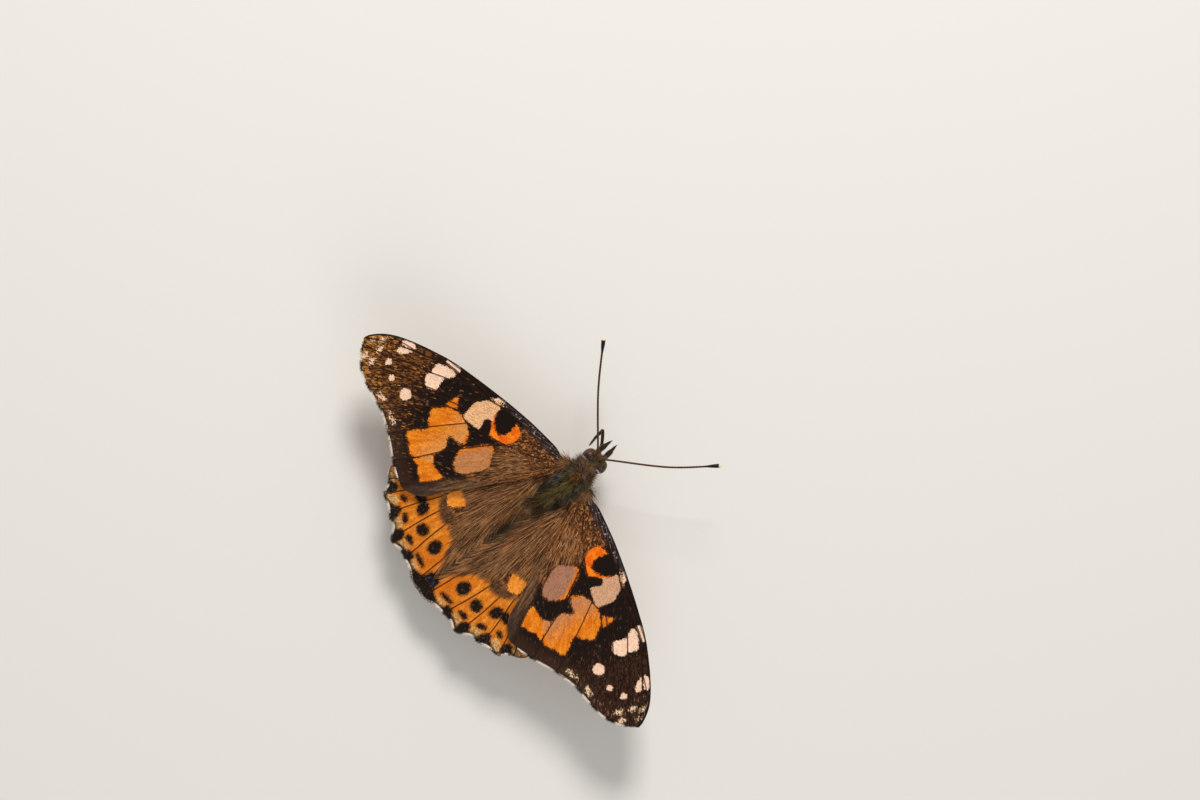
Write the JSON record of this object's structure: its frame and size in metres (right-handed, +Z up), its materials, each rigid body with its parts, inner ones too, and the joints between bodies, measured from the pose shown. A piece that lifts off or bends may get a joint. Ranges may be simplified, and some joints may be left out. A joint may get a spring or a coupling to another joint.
{
  "type": "painted lady butterfly",
  "caption": "Life-size painted lady butterfly standing on its legs with wings spread flat, veined wings, clubbed feelers.",
  "frame": {"origin": "on the level the feet stand on, under the middle of the whole outline", "axes": "+Z up; the head points to -Y; +X is the animal's left"},
  "size_m": [0.0626, 0.0426, 0.0112],
  "materials": {
    "wing_scales": "orange and black wing scales",
    "wing_scales_hind": "orange wing scales with dark spots",
    "body_fur": "olive-brown hair",
    "head_fur": "brown hair",
    "abdomen_fur": "brown hair with paler rings",
    "eye": "faceted, faintly glossy",
    "feeler": "ringed, with a black club and a pale tip",
    "proboscis": "smooth chitin",
    "palp": "grey-brown scales, pale beneath",
    "leg": "scaled, pale brown"
  },
  "bodies": {
    "root": {"abdomen": "abdomen_fur", "antenna_left": "feeler", "antenna_right": "feeler", "eye_left": "eye", "eye_right": "eye", "foreleg_left": "leg", "foreleg_right": "leg", "forewing_left": "wing_scales", "forewing_right": "wing_scales", "head": "head_fur", "hindleg_left_femur": "leg", "hindleg_left_tarsus": "leg", "hindleg_left_tibia": "leg", "hindleg_right_femur": "leg", "hindleg_right_tarsus": "leg", "hindleg_right_tibia": "leg", "hindwing_left": "wing_scales_hind", "hindwing_right": "wing_scales_hind", "midleg_left_femur": "leg", "midleg_left_tarsus": "leg", "midleg_left_tibia": "leg", "midleg_right_femur": "leg", "midleg_right_tarsus": "leg", "midleg_right_tibia": "leg", "palp_left": "palp", "palp_right": "palp", "proboscis_base": "proboscis", "proboscis_tip": "proboscis", "thorax": "body_fur"}
  },
  "joints": []
}
